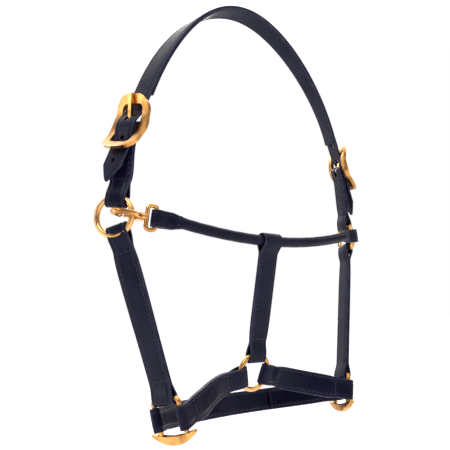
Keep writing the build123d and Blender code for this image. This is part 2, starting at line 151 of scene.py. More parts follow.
def ring_across(side):
    """Across a strap where it goes through a cheek ring, towards its rear edge."""
    toe = NEAR_RING_TOE_IN if side < 0 else TOE_IN
    return np.array((-side * math.sin(toe), -math.cos(toe), 0))


def chape_up(side):
    return unit(on_side(BUCKLE, side) - on_side(CHEEK_RING, side))


def cheek_down(side):
    return unit(on_side(SQUARE, side) - on_side(CHEEK_RING, side))


def square_point(side, x, y):
    """A place on a square, x to the rear and y up the cheek."""
    across = square_to(rearward(side), cheek_down(side))
    return on_side(SQUARE, side) + across * x - cheek_down(side) * y


def buckle_axes(side):
    """x across, y up the strap, z outward."""
    chape = chape_up(side)
    across = square_to(rearward(side), chape)
    out = np.cross(across, chape)
    if out[0] * side < 0:
        out = -out
    skew = NEAR_BUCKLE_SKEW if side < 0 else 0.0
    slewed = chape * math.cos(skew) + across * math.sin(skew)
    up = slewed * math.cos(BUCKLE_ROCK) - out * math.sin(BUCKLE_ROCK)
    out = out * math.cos(BUCKLE_ROCK) + slewed * math.sin(BUCKLE_ROCK)
    return np.cross(up, out), up, out


# ---- meshes ------------------------------------------------------------------------------------
def turn_faces_out(mesh):
    work = bmesh.new()
    work.from_mesh(mesh)
    bmesh.ops.recalc_face_normals(work, faces=work.faces)
    work.to_mesh(mesh)
    work.free()


def mesh_piece(name, points, faces, material, wear=None, stands_for=()):
    """A smooth-shaded mesh that rides on the straps' body, from points in millimetres."""
    mesh = bpy.data.meshes.new(name)
    mesh.from_pydata((np.asarray(points) * MM).tolist(), [], faces)
    # The per-point attribute carries a painted highlight: how far each point is lightened towards a grey-blue
    # sheen.
    if wear is not None:
        attribute = mesh.attributes.new("wear", "FLOAT", "POINT")
        attribute.data.foreach_set("value", np.asarray(wear, np.float32))
    turn_faces_out(mesh)
    mesh.polygons.foreach_set("use_smooth", [True] * len(mesh.polygons))
    mesh.materials.append(material)
    obj = bpy.data.objects.new(name, mesh)
    bpy.context.scene.collection.objects.link(obj)
    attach(obj, "headcollar")
    if stands_for:
        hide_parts(*stands_for)
    return obj


def skin(rings, closed):
    """Points and quads of a tube whose rings are an array (ring, point, 3)."""
    n, m = rings.shape[:2]
    faces = []
    for i in range(n if closed else n - 1):
        j = (i + 1) % n
        for k in range(m):
            q = (k + 1) % m
            faces.append((i * m + k, i * m + q, j * m + q, j * m + k))
    if not closed:
        faces.append(tuple(range(m)))
        faces.append(tuple((n - 1) * m + k for k in range(m)))
    return rings.reshape(-1, 3), faces


# One ply of leather: distance in from the edge, height, and how much painted highlight (a lighter grey-blue
# sheen, strongest on the rounded edges and the ridge beside the crease, none down in the crease or the stitch
# channel). The outer face is a little crowned, with a crease near the edge and a channel that the stitches
# lie in.
OUTER_FACE = [
    (0.00, 0.20, 0.8), (0.18, 0.72, 1.0), (0.62, 1.08, 1.0), (1.20, 1.15, 0.5),
    (1.55, 0.93, 0.0), (1.95, 1.14, 0.3), (2.55, 1.16, 0.1), (2.90, 1.00, 0.0),
    (3.35, 0.92, 0.0), (3.80, 1.00, 0.0), (4.15, 1.17, 0.1), (6.20, 1.22, 0.0), (9.00, 1.25, 0.0),
]
INNER_FACE = [
    (9.00, -1.15, 0.0), (4.00, -1.15, 0.0), (1.10, -1.15, 0.1), (0.40, -1.08, 0.5), (0.08, -0.70, 0.8),
]
NARROWEST_HALF = 11.0       # insets shrink where a strap is narrower than this from its middle
STITCH_INSET = 3.35
STITCH_HEIGHT = 1.12


def ply_section():
    """(sign, inset, height, share of painted edge highlight) round one ply; sign 0 is the middle of a face.
    """
    right = [(1, *p) for p in OUTER_FACE]
    left = [(-1, *p) for p in reversed(OUTER_FACE)]
    under_left = [(-1, *p) for p in reversed(INNER_FACE)]
    under_right = [(1, *p) for p in INNER_FACE]
    return np.array(right + [(0, 0, 1.25, 0)] + left + under_left + [(0, 0, -1.15, 0)] + under_right)


SECTION = ply_section()


class Stations:
    """Where one ply's cross-section stands, all along the ply."""

    def __init__(self, centre, across, moving, width):
        self.centre = centre
        self.across = across
        self.out = unit(np.cross(across, moving))
        self.width = width
        self.thick = np.ones(len(centre))

    def joined(self, other):
        for key in vars(self):
            setattr(self, key, np.concatenate((getattr(self, key), getattr(other, key))))

    def only(self, wanted):
        for key in vars(self):
            setattr(self, key, getattr(self, key)[wanted])
        return self

    def rings(self):
        half = self.width[:, None] / 2
        sign, inset, height = SECTION[:, 0], SECTION[:, 1], SECTION[:, 2]
        x = sign * (half - inset * np.minimum(1, half / NARROWEST_HALF))
        y = height[None, :] * self.thick[:, None]
        return self.centre[:, None] + self.across[:, None] * x[..., None] + self.out[:, None] * y[..., None]

    # The share of painted highlight at each point: a lighter grey-blue sheen painted on edges and ridges.
    def wear(self):
        return np.tile(SECTION[:, 3], len(self.centre))


class Line:
    """The middle line of a strap: places, width direction, width, and half the gap to each ply."""

    def __init__(self, places, across, width, gap):
        self.p = np.asarray(places)
        steps = np.linalg.norm(np.diff(self.p, axis=0), axis=1)
        self.s = np.concatenate(((0,), np.cumsum(steps)))
        self.t = unit(np.gradient(self.p, self.s, axis=0))
        self.w = square_to(np.asarray(across), self.t)
        self.n = np.cross(self.w, self.t)
        self.width = np.asarray(width)
        self.gap = np.asarray(gap)

    def at(self, s):
        def mix(rows):
            return np.stack([np.interp(s, self.s, column) for column in rows.T], axis=-1)

        width, gap = np.interp(s, self.s, self.width), np.interp(s, self.s, self.gap)
        return mix(self.p), unit(mix(self.t)), unit(mix(self.w)), unit(mix(self.n)), width, gap


def bezier(points, t):
    a, b, c, d = points
    t = np.asarray(t)[:, None]
    u = 1 - t
    return a * u**3 + b * (3 * u * u * t) + c * (3 * u * t * t) + d * t**3


def strap_line(first, last, widths, pull=0.33, steps=60):
    """From bar to bar: straight for TAPER at each end, and a Bezier between."""
    start = first["bar"] + first["along"] * TAPER
    finish = last["bar"] + last["along"] * TAPER
    reach = np.linalg.norm(finish - start) * pull
    path = [start, start + first["along"] * reach, finish + last["along"] * reach, finish]
    lead = np.linspace(0, 1, 9)[:-1]
    t = np.linspace(0, 1, steps + 1)
    blend = smooth(t)[:, None]
    places = [first["bar"] + first["along"] * (TAPER * x) for x in lead]
    places += list(bezier(path, t))
    places += [last["bar"] + last["along"] * (TAPER * x) for x in lead[::-1]]
    across = [first["across"]] * len(lead)
    across += list(first["across"] * (1 - blend) + last["across"] * blend)
    across += [last["across"]] * len(lead)
    end_width = np.where(t < 0.5, widths[0], widths[1])
    middle = STRAP_WIDTH - (STRAP_WIDTH - end_width) * (2 * t - 1) ** 6
    width = np.concatenate((np.full(len(lead), widths[0]), middle, np.full(len(lead), widths[1])))
    flat = PLY / 2 + CLOSE
    opening = [(end["radius"] + FIT + PLY / 2 - flat) * (1 - smooth(lead)) for end in (first, last)]
    gap = flat + np.concatenate((opening[0], np.zeros(steps + 1), opening[1][::-1]))
    return Line(places, across, width, gap)


def bar_end(bar, along, across, radius, reach=LEAST_REACH):
    """A strap's end round a bar; reach is how far the loop goes past it before it turns."""
    along = unit(along)
    across = square_to(across, along)
    return {"bar": bar, "along": along, "across": across, "radius": radius, "reach": reach}


def ring_reach(width):
    """How far past a ring's wire a loop goes, so that its edges clear the curve of the wire."""
    return RING_RADIUS - math.sqrt(RING_RADIUS**2 - (width / 2) ** 2) + LEAST_REACH


def ring_end(centre, outward, across, slack=0.0):
    outward = unit(outward)
    wire = centre + outward * RING_RADIUS
    return bar_end(wire, outward, across, RING_WIRE / 2, ring_reach(SNUG_WIDTH) + slack)


def one_side(line, sign):
    """The stations of one ply, in the direction in which the strip runs on that side."""
    slope = np.gradient(line.gap, line.s)[:, None]
    moving = unit(line.t * sign + line.n * slope)
    return Stations(line.p + line.n * (line.gap * sign)[:, None], line.w, moving, line.width)


def reversed_stations(made):
    for key in vars(made):
        setattr(made, key, getattr(made, key)[::-1])
    return made


def wrap(line, end, last):
    """The turn of the strip round a bar, from one face to the other."""
    at = -1 if last else 0
    way = 1 if last else -1
    beyond, normal = line.t[at] * way, line.n[at] * way
    phi = np.linspace(0, math.pi, 17)[:, None]
    radius = line.gap[at]
    turn = end["bar"] + beyond * end["reach"]
    centre = turn + beyond * radius * np.sin(phi) + normal * radius * np.cos(phi)
    moving = beyond * np.cos(phi) - normal * np.sin(phi)
    n = len(phi)
    return Stations(centre, np.tile(line.w[at], (n, 1)), moving, np.full(n, line.width[at]))


def doubled_strap(line, ends):
    """One strip, once round: along the outer face, round a bar, back, and round the other."""
    made = one_side(line, 1)
    made.joined(wrap(line, ends[1], True))
    made.joined(reversed_stations(one_side(line, -1)))
    made.joined(wrap(line, ends[0], False))
    return made


# ---- stitching -----------------------------------------------------------------------------------
PITCH = 4.6
STITCH_LENGTH = 3.5
THREAD = 0.42
SIDES = 6
SLANT, SLANT_VARIES = 0.16, 0.03


def stitches(centres, directions, normals):
    """Points and faces of one rounded stitch at each place."""
    stops = np.array((-0.5, -0.40, -0.22, 0.22, 0.40, 0.5)) * STITCH_LENGTH
    sizes = np.array((0.15, 0.68, 1.0, 1.0, 0.68, 0.15)) * THREAD
    sinks = np.array((-0.5, -0.12, 0.0, 0.0, -0.12, -0.5)) * THREAD
    turn = np.linspace(0, 2 * math.pi, SIDES, endpoint=False)
    side = np.cross(directions, normals)
    rings = (
        centres[:, None, None]
        + directions[:, None, None] * stops[None, :, None, None]
        + side[:, None, None] * (sizes[:, None] * np.cos(turn))[None, :, :, None]
        + normals[:, None, None] * (sizes[:, None] * np.sin(turn) + sinks[:, None])[None, :, :, None]
    )
    points, faces = [], []
    for one in rings:
        base = len(points) * len(stops) * SIDES
        places, quads = skin(one, False)
        points.append(places)
        faces += [tuple(base + v for v in quad) for quad in quads]
    return np.concatenate(points), faces


def row_places(line, start, stop, sign, face, height=STITCH_HEIGHT):
    """Stitches along a line on one face; sign is the edge and face is which ply."""
    count = max(2, round((stop - start) / PITCH))
    s = np.linspace(start, stop, count)
    p, t, w, n, width, gap = line.at(s)
    inset = (width / 2 - STITCH_INSET) * sign
    centre = p + w * inset[:, None] + n * (face * (gap + height))[:, None]
    slant = SLANT + RNG.normal(0, SLANT_VARIES, count)
    direction = unit(t + w * (slant * sign * face)[:, None])
    return centre, direction, n * face


def cross_places(line, s, face):
    """A row across a strap, where the plies come together or end."""
    p, _, w, n, width, gap = (row[0] for row in line.at(np.array([s])))
    reach = width / 2 - STITCH_INSET - PITCH
    x = np.linspace(-reach, reach, max(2, round(2 * reach / PITCH) + 1))[:, None]
    centre = p + w * x + n * (face * (gap + STITCH_HEIGHT))
    direction = np.tile(w, (len(x), 1))
    return centre, direction, np.tile(n * face, (len(x), 1))


def stitch_piece(name, rows):
    centres, directions, normals = (np.concatenate(part) for part in zip(*rows))
    points, faces = stitches(centres, directions, normals)
    mesh_piece(name, points, faces, THREAD_DARK)


def strap_rows(line, start, stop, faces=(1, -1)):
    rows = []
    for face in faces:
        rows += [row_places(line, start, stop, sign, face) for sign in (-1, 1)]
        rows += [cross_places(line, s, face) for s in (start, stop)]
    return rows


# ---- materials -----------------------------------------------------------------------------------
def new_material(name):
    material = bpy.data.materials.new(name)
    material.use_nodes = True
    tree = material.node_tree
    return material, tree, tree.nodes["Principled BSDF"]


def node(tree, kind, **settings):
    made = tree.nodes.new(kind)
    for key, value in settings.items():
        if key in made.inputs:
            made.inputs[key].default_value = value
        else:
            setattr(made, key, value)
    return made


def noise(tree, scale, detail=3.0, rough=0.55):
    place = node(tree, "ShaderNodeTexCoord")
    made = node(tree, "ShaderNodeTexNoise", Scale=scale, Detail=detail, Roughness=rough)
    tree.links.new(place.outputs["Object"], made.inputs["Vector"])
    return made.outputs["Fac"]


def ramp(tree, value, stops):
    made = node(tree, "ShaderNodeValToRGB")
    elements = made.color_ramp.elements
    while len(elements) < len(stops):
        elements.new(0.5)
    for element, (place, colour) in zip(elements, stops):
        element.position = place
        element.color = (*colour, 1)
    tree.links.new(value, made.inputs["Fac"])
    return made.outputs["Color"]


def spread(tree, value, low, high, from_low=0.3, from_high=0.7):
    """Maps a value onto low to high, by default from the middle of a noise's range."""
    limits = {"From Min": from_low, "From Max": from_high, "To Min": low, "To Max": high}
    made = node(tree, "ShaderNodeMapRange", **limits)
    tree.links.new(value, made.inputs["Value"])
    return made.outputs["Result"]


def bump(tree, value, strength, distance, under=None):
    made = node(tree, "ShaderNodeBump", Strength=strength, Distance=distance)
    tree.links.new(value, made.inputs["Height"])
    if under is not None:
        tree.links.new(under, made.inputs["Normal"])
    return made.outputs["Normal"]


def mixed(tree, factor, a, b):
    made = node(tree, "ShaderNodeMix", data_type="RGBA")
    tree.links.new(factor, made.inputs[0])
    for value, socket in ((a, made.inputs[6]), (b, made.inputs[7])):
        if isinstance(value, tuple):
            socket.default_value = (*value, 1)
        else:
            tree.links.new(value, socket)
    return made.outputs[2]


def leather(name, dark, light, painted_sheen_colour, roughness=(0.30, 0.46)):
    """Near-black leather: mottled, with a painted grey-blue highlight on edges and ridges as far as the
    piece's per-point attribute and a patchy noise say, and a fine pebble.
    """
    material, tree, shader = new_material(name)
    mottle = ramp(tree, noise(tree, 42, 4), [(0.34, dark), (0.66, light)])
    # Painted highlight: the per-point attribute times a patchy noise mixes the mottle towards a lighter
    # grey-blue.
    wear = node(tree, "ShaderNodeAttribute", attribute_name="wear").outputs["Fac"]
    painted_sheen_mask = node(tree, "ShaderNodeMath", operation="MULTIPLY")
    tree.links.new(wear, painted_sheen_mask.inputs[0])
    tree.links.new(spread(tree, noise(tree, 130, 3), 0.15, 1.0), painted_sheen_mask.inputs[1])
    tree.links.new(mixed(tree, painted_sheen_mask.outputs[0], mottle, painted_sheen_colour), shader.inputs["Base Color"])
    tree.links.new(spread(tree, noise(tree, 70, 4), *roughness), shader.inputs["Roughness"])
    cells = node(tree, "ShaderNodeTexVoronoi", Scale=1500.0, feature="SMOOTH_F1")
    place = node(tree, "ShaderNodeTexCoord")
    tree.links.new(place.outputs["Object"], cells.inputs["Vector"])
    pebble = bump(tree, cells.outputs["Distance"], 0.22, 0.00022)
    folds = bump(tree, noise(tree, 210, 5, 0.6), 0.35, 0.0005, pebble)
    tree.links.new(folds, shader.inputs["Normal"])
    shader.inputs["IOR"].default_value = 1.20
    shader.inputs["Specular Tint"].default_value = (0.72, 0.78, 1.0, 1)
    shader.inputs["Coat Weight"].default_value = 0.14
    shader.inputs["Coat IOR"].default_value = 1.32
    shader.inputs["Coat Roughness"].default_value = 0.16
    return material


def brass(name, deep, gold, roughness=(0.20, 0.36)):
    material, tree, shader = new_material(name)
    colour = ramp(tree, noise(tree, 55, 2), [(0.34, deep), (0.58, gold)])
    tree.links.new(colour, shader.inputs["Base Color"])
    tree.links.new(spread(tree, noise(tree, 150, 4), *roughness), shader.inputs["Roughness"])
    tree.links.new(bump(tree, noise(tree, 90, 1), 0.12, 0.0006), shader.inputs["Normal"])
    shader.inputs["Metallic"].default_value = 1.0
    return material


# Grey-blue of the painted highlight on edges and ridges; the bridle leather's own is given in its call.
PAINTED_SHEEN_GREY = (0.035, 0.035, 0.06)
BRIDLE = leather("bridle_leather", (0.0018, 0.0015, 0.0085), (0.0050, 0.0044, 0.018), (0.030, 0.030, 0.06))
LINING = leather("lining_leather", (0.0025, 0.0022, 0.0100), (0.007, 0.0065, 0.021), PAINTED_SHEEN_GREY, (0.42, 0.60))
ROLLED = leather("rolled_leather", (0.0020, 0.0017, 0.0090), (0.006, 0.0053, 0.019), PAINTED_SHEEN_GREY, (0.32, 0.48))


def make_thread():
    material, tree, shader = new_material("stitch_thread")
    colour = ramp(tree, noise(tree, 400, 2), [(0.3, (0.007, 0.007, 0.018)), (0.7, (0.022, 0.022, 0.042))])
    tree.links.new(colour, shader.inputs["Base Color"])
    tree.links.new(bump(tree, noise(tree, 3200, 2), 0.3, 0.0002), shader.inputs["Normal"])
    shader.inputs["Roughness"].default_value = 0.55
    return material


THREAD_DARK = make_thread()
CAST_BRASS = brass("cast_brass", (0.30, 0.125, 0.030), (0.68, 0.34, 0.105))
RING_BRASS = brass("ring_brass", (0.33, 0.145, 0.038), (0.72, 0.39, 0.135), (0.15, 0.30))
SNAP_BRASS = brass("snap_brass", (0.32, 0.14, 0.035), (0.72, 0.38, 0.130))


def make_steel():
    material, tree, shader = new_material("pin_steel")
    colour = ramp(tree, noise(tree, 300, 3), [(0.3, (0.33, 0.32, 0.31)), (0.7, (0.55, 0.54, 0.53))])
    tree.links.new(colour, shader.inputs["Base Color"])
    tree.links.new(spread(tree, noise(tree, 900, 3), 0.25, 0.45), shader.inputs["Roughness"])
    shader.inputs["Metallic"].default_value = 1.0
    return material


STEEL = make_steel()
NODE_MATERIALS = {
    "buckle_frame_near": CAST_BRASS, "buckle_frame_off": CAST_BRASS,
    "buckle_tongue_near": RING_BRASS, "buckle_tongue_off": RING_BRASS,
    "cheek_ring_near": RING_BRASS, "cheek_ring_off": RING_BRASS, "chin_ring": RING_BRASS,
    "square_near": CAST_BRASS, "square_off": CAST_BRASS,
    "snap_body": SNAP_BRASS, "snap_gate": SNAP_BRASS, "snap_pin": STEEL, "snap_spring": STEEL,
}
for name, material in NODE_MATERIALS.items():
    data = frame["nodes"][name].data
    data.materials.clear()
    data.materials.append(material)
    data.polygons.foreach_set("material_index", [0] * len(data.polygons))


# ---- doubled straps ------------------------------------------------------------------------------
def strap_piece(name, made, closed, material, stands_for):
    points, faces = skin(made.rings(), closed)
    return mesh_piece(name, points, faces, material, made.wear(), stands_for)


def leather_loop(name, first, last, widths):
    """A doubled strap between two bars, with its stitching."""
    line = strap_line(first, last, widths)
    made = doubled_strap(line, (first, last))
    obj = strap_piece(name, made, True, BRIDLE, (name,))
    rows = strap_rows(line, SEWN_FROM, line.s[-1] - SEWN_FROM)
    stitch_piece(name + "_stitches", rows)
    return obj


def carve(obj, cutters):
    """Cuts closed shapes out of a piece, and keeps only the result."""
    for cutter in cutters:
        cut = obj.modifiers.new("cut", "BOOLEAN")
        cut.operation = "DIFFERENCE"
        cut.solver = "EXACT"
        cut.object = cutter
    graph = bpy.context.evaluated_depsgraph_get()
    result = bpy.data.meshes.new_from_object(obj.evaluated_get(graph))
    obj.modifiers.clear()
    obj.data = result
    for cutter in cutters:
        bpy.data.objects.remove(cutter)


def prism(outline, low, high, origin, axes):
    """A closed cutter: an outline in two axes, from low to high along the third."""
    x, y, z = axes
    flat = np.array([x * a + y * b for a, b in outline]) + origin
    rings = np.stack((flat + z * low, flat + z * high))
    points, faces = skin(rings, False)
    mesh = bpy.data.meshes.new("cutter")
    mesh.from_pydata((points * MM).tolist(), [], faces)
    turn_faces_out(mesh)
    cutter = bpy.data.objects.new("cutter", mesh)
    bpy.context.scene.collection.objects.link(cutter)
    return cutter


def oval(width, length, middle=0.0, count=28):
    """A slot's outline: straight sides and round ends, length up the strap."""
    outline = []
    straight = length / 2 - width / 2
    for i in range(count):
        a = 2 * math.pi * (i + 0.5) / count
        y = math.sin(a)
        outline.append((math.cos(a) * width / 2, middle + y * width / 2 + math.copysign(straight, y)))
    return outline


for label, side in (("near", -1), ("off", 1)):
    rear = rearward(side)
    ring_at, buckle_at = on_side(CHEEK_RING, side), on_side(BUCKLE, side)
    axes = buckle_axes(side)

    chape = leather_loop(
        f"chape_{label}",
        ring_end(ring_at, chape_up(side), ring_across(side), RING_SLACK),
        bar_end(buckle_at, -square_to(chape_up(side), axes[0]), axes[0] * -side, BUCKLE_BAR / 2),
        (SNUG_WIDTH, STRAP_WIDTH),
    )
    carve(chape, [prism(oval(*CHAPE_SLOT), -12, 12, buckle_at, axes)])

    leather_loop(
        f"cheek_strap_{label}",
        ring_end(ring_at, cheek_down(side), ring_across(side), RING_SLACK),
        bar_end(square_point(side, 0, SQUARE_DROP / 2), -cheek_down(side), rear, SQUARE_BAR / 2),
        (SNUG_WIDTH, STRAP_WIDTH),
    )


# The chin ring hangs from the connecting strap and faces the rear; its plane holds chin_up.
ring_face = square_to(np.array((0.0, -1.0, 0.0)), unit(THROAT_MIDDLE - CHIN_RING))
chin_up = square_to(UP, ring_face)
for label, side in (("near", -1), ("off", 1)):
    sideways = np.array((float(side), 0.0, 0.0))
    inner = ring_end(
        CHIN_RING,
        sideways * math.cos(CHIN_LIFT) - chin_up * math.sin(CHIN_LIFT),
        chin_up * math.cos(CHIN_LIFT) + sideways * math.sin(CHIN_LIFT),
    )
    bar = square_point(side, SQUARE_SPACING / 2, SIDE_LOOP_DROP)
    up_strap = -cheek_down(side)
    leave = square_to(unit(inner["bar"] - bar) + square_normal(side) * CHIN_BOW, up_strap)
    outer = bar_end(bar, leave, up_strap, SQUARE_BAR / 2, CHIN_SLACK)
    leather_loop(f"chin_strap_{label}", inner, outer, (SNUG_WIDTH, SNUG_WIDTH))


# ---- throat strap ----------------------------------------------------------------------------------
def ring_rear(side):
    return on_side(CHEEK_RING, side) + ring_across(side) * RING_RADIUS


snap_rear = np.cross(SNAP_ALONG, square_to(UP, SNAP_ALONG))
snap_origin = ring_rear(-1) + SNAP_ALONG * SNAP_SHIFT[0] - snap_rear * SNAP_SHIFT[1]
eye_bar = snap_origin + SNAP_ALONG * (SHANK + EYE_BAR / 2 + EYE_LENGTH)
roll_near = eye_bar + SNAP_ALONG * ROLL_FROM
roll_off = ring_rear(1) + OFF_LEAVE * ROLL_FROM


def arc_through(a, b, c, count):
    """Points on the circle arc from a to c through b."""
    ab, ac = b - a, c - a
    normal = np.cross(ab, ac)
    towards = np.cross(normal, ab) * ac.dot(ac) + np.cross(ac, normal) * ab.dot(ab)
    centre = a + towards / (2 * normal.dot(normal))
    radius = np.linalg.norm(a - centre)
    x = unit(a - centre)
    y = np.cross(unit(normal), x)
    sweep = math.atan2((c - centre).dot(y), (c - centre).dot(x)) % (2 * math.pi)
    angles = np.linspace(0, sweep, count)[:, None]
    return centre + radius * (x * np.cos(angles) + y * np.sin(angles))


BODY_START = 13.0           # from the bar: where the body of the throat strap starts
LEAD_END = 26.0
FLAT_UNTIL = BODY_START + 2
ROUND_AT = 31.0
FLAT_HALF = 1.9
TAB_LENGTH = 25.0
TAB_STITCH_HEIGHT = 0.95
SEAM_AT = math.radians(72)


def throat_body():
    """The leather between the two flat tabs: flat, then rolled round its cord, then flat."""
    arc = arc_through(roll_near, THROAT_MIDDLE, roll_off, 110)
    near_lead = [eye_bar + SNAP_ALONG * x for x in np.linspace(BODY_START, LEAD_END, 9)]
    off_lead = [ring_rear(1) + OFF_LEAVE * x for x in np.linspace(LEAD_END, BODY_START, 9)]
    places = np.array(near_lead + list(arc) + off_lead)
    line = Line(places, np.tile(UP, (len(places), 1)), np.ones(len(places)), np.zeros(len(places)))
    from_end = BODY_START + np.minimum(line.s, line.s[-1] - line.s)
    rounded = smooth((from_end - FLAT_UNTIL) / (ROUND_AT - FLAT_UNTIL))
    half_wide = (ROLL_FLAT / 2 - 0.6) * (1 - rounded) + ROLL / 2 * rounded
    half_thick = FLAT_HALF * (1 - rounded) + ROLL / 2 * rounded
    power = 2 / (4.5 * (1 - rounded) + 2.0 * rounded)
    angle = np.linspace(0, 2 * math.pi, 40, endpoint=False)
    c, s = np.cos(angle), np.sin(angle)
    x = half_wide[:, None] * np.sign(c) * np.abs(c) ** power[:, None]
    y = half_thick[:, None] * np.sign(s) * np.abs(s) ** power[:, None]
    seam = 1 - 0.13 * np.exp(-((angle - SEAM_AT) / 0.09) ** 2)[None, :] * rounded[:, None]
    ripple = 1 + 0.012 * np.sin(line.s / 3.1)[:, None] * rounded[:, None]
    rings = (
        line.p[:, None]
        + line.w[:, None] * (x * seam * ripple)[..., None]
        + line.n[:, None] * (y * seam * ripple)[..., None]
    )
    points, faces = skin(rings, False)
    mesh_piece("throat_strap", points, faces, ROLLED,
               stands_for=("throat_strap", "throat_core"))


throat_body()


def throat_tab(name, end):
    """A flat end of the throat strap, turned round its bar and sewn down on both sides."""
    x = np.concatenate((np.linspace(0, TAPER, 10), np.linspace(TAPER, TAB_LENGTH, 8)[1:]))
    places = end["bar"] + end["along"] * x[:, None]
    flat = PLY / 2 + 0.05
    gap = flat + (end["radius"] + FIT + PLY / 2 - flat) * (1 - smooth(x / TAPER))
    grow = smooth((x - FLAT_UNTIL) / (ROUND_AT - FLAT_UNTIL))
    gap = gap + grow * (ROLL / 2 - FLAT_HALF) * 0.95
    fade = smooth((x - TAPER) / (TAB_LENGTH - TAPER))
    line = Line(places, np.tile(end["across"], (len(x), 1)), ROLL_FLAT - fade * 5.0, gap)
    thin = 1 - 0.75 * fade
    upper, lower = one_side(line, 1), one_side(line, -1)
    upper.thick, lower.thick = thin, thin.copy()
    made = reversed_stations(lower)
    made.joined(wrap(line, end, False))
    made.joined(upper)
    strap_piece(name, made, False, ROLLED, ())
    rows = []
    for face, sign in ((1, -1), (1, 1), (-1, -1), (-1, 1)):
        rows.append(row_places(line, TAPER - 1, TAB_LENGTH - 3, sign, face, TAB_STITCH_HEIGHT))
    stitch_piece(name + "_stitches", rows)


throat_tab("throat_tab_near", bar_end(eye_bar, SNAP_ALONG, UP, EYE_BAR / 2))
throat_tab("throat_tab_off", bar_end(ring_rear(1), OFF_LEAVE, UP, RING_WIRE / 2, ring_reach(ROLL_FLAT)))

down = unit(CHIN_RING - THROAT_MIDDLE)
along_roll = unit(roll_off - roll_near)
leather_loop(
    "connecting_strap",
    bar_end(THROAT_MIDDLE, down, along_roll, ROLL / 2),
    ring_end(CHIN_RING, -down, along_roll),
    (STRAP_WIDTH, SNUG_WIDTH),
)


# ---- noseband --------------------------------------------------------------------------------------
def nose_end(side):
    bar = square_point(side, -SQUARE_SPACING / 2, SIDE_LOOP_DROP)
    up_strap = -cheek_down(side)
    leave = unit(np.array((-side * NOSE_LEAVE[0], NOSE_LEAVE[1], NOSE_LEAVE[2])))
    return bar_end(bar + leave * (NOSE_SLACK / 2), leave, up_strap, SQUARE_BAR / 2, NOSE_SLACK)


LINING_NARROWER, BUTT_GAP = 0.3, 0.6


def noseband():
    """One strip with both ends turned back inside, and a lining in the space between them."""
    ends = (nose_end(-1), nose_end(1))
    line = strap_line(*ends, (SNUG_WIDTH, SNUG_WIDTH), NOSE_BOW, 90)
    start = TAPER + (line.s[-1] - 2 * TAPER) * TURN_BACK
    stop = line.s[-1] - start
    made = reversed_stations(one_side(line, -1).only(line.s <= start))
    made.joined(wrap(line, ends[0], False))
    made.joined(one_side(line, 1))
    made.joined(wrap(line, ends[1], True))
    made.joined(reversed_stations(one_side(line, -1).only(line.s >= stop)))
    strap_piece("noseband", made, False, BRIDLE, ("noseband",))

    lined = Line(line.p, line.w, line.width - LINING_NARROWER, np.full(len(line.s), PLY / 2 + CLOSE))
    lining = one_side(lined, -1).only((line.s > start + BUTT_GAP) & (line.s < stop - BUTT_GAP))
    strap_piece("noseband_lining", lining, False, LINING, ("noseband_lining",))
    rows = strap_rows(line, SEWN_FROM, line.s[-1] - SEWN_FROM)
    rows += [cross_places(line, s, -1) for s in (start - 4, stop + 4)]
    stitch_piece("noseband_stitches", rows)


noseband()


# ---- crown strap and billets -------------------------------------------------------------------------
def billet_height(y):
    """Height of the billet's middle over the buckle's plane, y up the strap from the centre bar."""
    wave = BILLET_RISE * np.cos(np.minimum(np.abs(y) / BILLET_HUMP, 1.0) * math.pi / 2) ** 2
    return BILLET_LIFT + wave - (BILLET_LIFT - PLY / 2) * smooth((y - SETTLE_FROM) / SETTLE_OVER)


def crown_half(side, offset, with_billet):
    """Places, width directions and widths, from the billet's tip or the lining's foot to the poll."""
    x_axis, y_axis, z_axis = buckle_axes(side)
    base = on_side(BUCKLE, side)
    places, across, width = [], [], []
    if with_billet:
        tip = np.array((0.25, 0.8, 1.6, 2.6, 3.8, 5.2, 6.8, 8.6, 10.6, 12.8, 15.2, TIP_LENGTH)) - TAIL_LENGTH
        y = np.concatenate((tip, np.arange(-TAIL_LENGTH + 20, BILLET_TOP - 1, 2.4)))
        for value in y:
            places.append(base + y_axis * value + z_axis * billet_height(value))
            across.append(x_axis)
            width.append(STRAP_WIDTH * min(1.0, (value + TAIL_LENGTH) / TIP_LENGTH) ** 0.8)
    else:
        for value in np.arange(BILLET_TOP - LINING_BELOW, BILLET_TOP - 1, 2.0):
            places.append(base + y_axis * value + z_axis * offset)
            across.append(x_axis)
            width.append(STRAP_WIDTH)
    foot = base + y_axis * BILLET_TOP
    top = np.array((0.0, 0.0, PLY + SEAM))
    reach = np.linalg.norm(top - foot) * CROWN_PULL
    path = [foot, foot + y_axis * reach, top + np.array((side * CROWN_SHOULDER, 0, 0)), top]
    t = np.linspace(0, 1, 57)
    seam_line = bezier(path, t)
    moving = unit(np.gradient(seam_line, axis=0))
    blend = smooth(t)[:, None]
    turned = x_axis * (1 - blend) + np.array((0.0, float(side), 0.0)) * blend
    turned = square_to(turned, moving)
    out = np.cross(turned, moving)
    places += list(seam_line + out * offset)
    across += list(turned)
    width += [STRAP_WIDTH] * len(t)
    return places, across, width


def crown_line(offset, with_billet):
    """The whole crown: the near half up, and the off half down again."""
    near = crown_half(-1, offset, with_billet)
    off = crown_half(1, offset, with_billet)
    places = near[0] + off[0][-2::-1]
    across = near[1] + [-w for w in off[1][-2::-1]]
    width = near[2] + off[2][-2::-1]
    return Line(places, across, width, np.zeros(len(places)))


def single_ply(line, face):
    """The stations of one ply whose outer face looks along the line's normal, or against it."""
    if face > 0:
        return Stations(line.p, line.w, line.t, line.width)
    return reversed_stations(Stations(line.p, line.w, -line.t, line.width))


